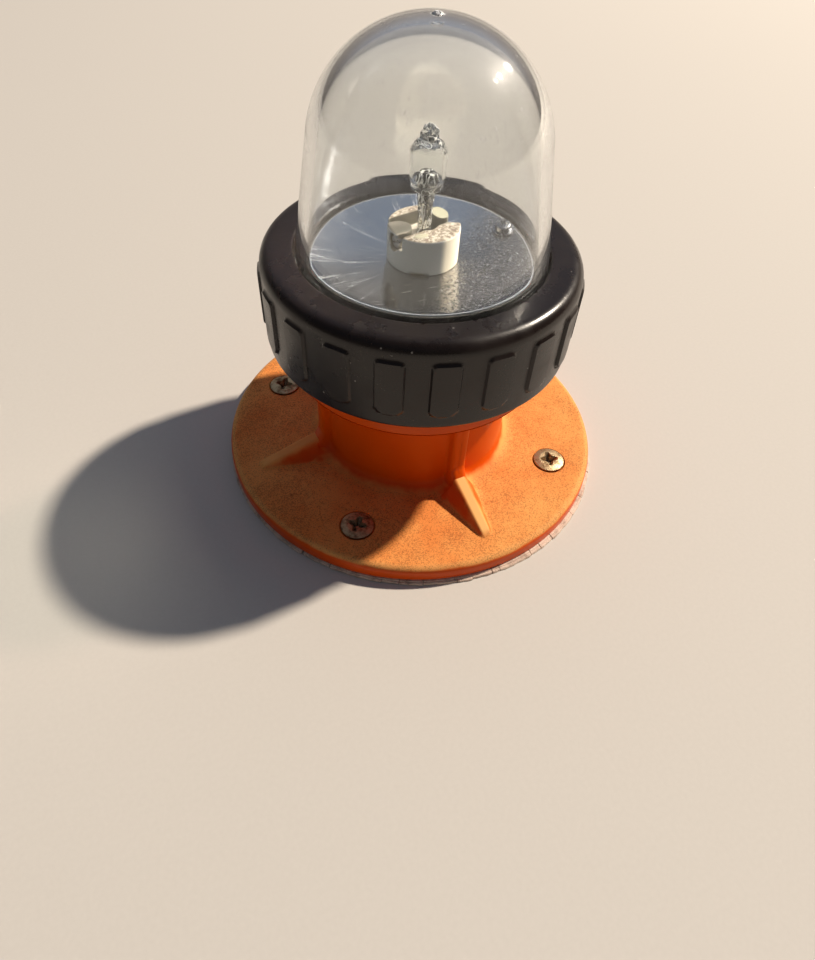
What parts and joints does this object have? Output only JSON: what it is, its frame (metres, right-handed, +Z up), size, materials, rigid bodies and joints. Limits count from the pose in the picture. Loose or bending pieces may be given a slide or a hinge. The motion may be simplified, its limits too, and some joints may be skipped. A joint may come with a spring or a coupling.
{
  "type": "lifeboat canopy light",
  "caption": "Round marine canopy light: ribbed orange flange base, black screw ring with grip pads, clear dome and a small capsule lamp on a reflector plate.",
  "frame": {"origin": "centre of the underside, on the surface that the light is screwed to", "axes": "+Z up through the dome; the four ribs lie along +X, -X, +Y and -Y"},
  "size_m": [0.115, 0.115, 0.12],
  "materials": {
    "base": "moulded orange plastic, chalked by the sun on top, glossier on the neck",
    "ring": "black moulded plastic, satin to gloss",
    "washer": "black acetal, matt",
    "rubber": "black rubber, matt",
    "sealant": "aged pale bedding sealant, cracked",
    "dome": "clear moulded plastic, polished",
    "reflector": "polished, with fine scratches",
    "ceramic": "unglazed off-white ceramic",
    "steel": "stainless, tarnished",
    "quartz": "clear quartz",
    "filament": "drawn tungsten wire"
  },
  "bodies": {
    "base": {"bedding_seal": "sealant", "base_housing": "base", "dome_seal": "rubber", "reflector_plate": "reflector", "lamp_holder": "ceramic", "holder_terminal_screw": "steel", "cable_grommet": "rubber", "flange_screw_1": "steel", "flange_screw_2": "steel", "flange_screw_3": "steel", "flange_screw_4": "steel", "plate_screw": "steel", "plate_washer": "steel"},
    "dome": {"dome": "dome"},
    "washer": {"slip_washer": "washer"},
    "ring": {"clamp_ring": "ring"},
    "lamp": {"lamp_capsule": "quartz", "lamp_pinch": "quartz", "lamp_filament": "filament", "lamp_pin_1": "steel", "lamp_pin_2": "steel"}
  },
  "joints": [
    {"name": "dome_lift", "type": "slide", "parent": "base", "child": "dome", "axis": [0, 0, 1], "range_m": [0, 0.07]},
    {"name": "ring_rise", "type": "slide", "parent": "dome", "child": "washer", "axis": [0, 0, 1], "range_m": [0, 0.008]},
    {"name": "ring_turn", "type": "hinge", "parent": "washer", "child": "ring", "pos_m": [0, 0, 0.056], "axis": [0, 0, 1], "range_deg": [0, 720]},
    {"name": "lamp_pull", "type": "slide", "parent": "base", "child": "lamp", "axis": [0, 0, 1], "range_m": [0, 0.012]}
  ],
  "couplings": [
    {"joint": "ring_rise", "follows": "ring_turn", "m_per_rad": 0.000636}
  ]
}
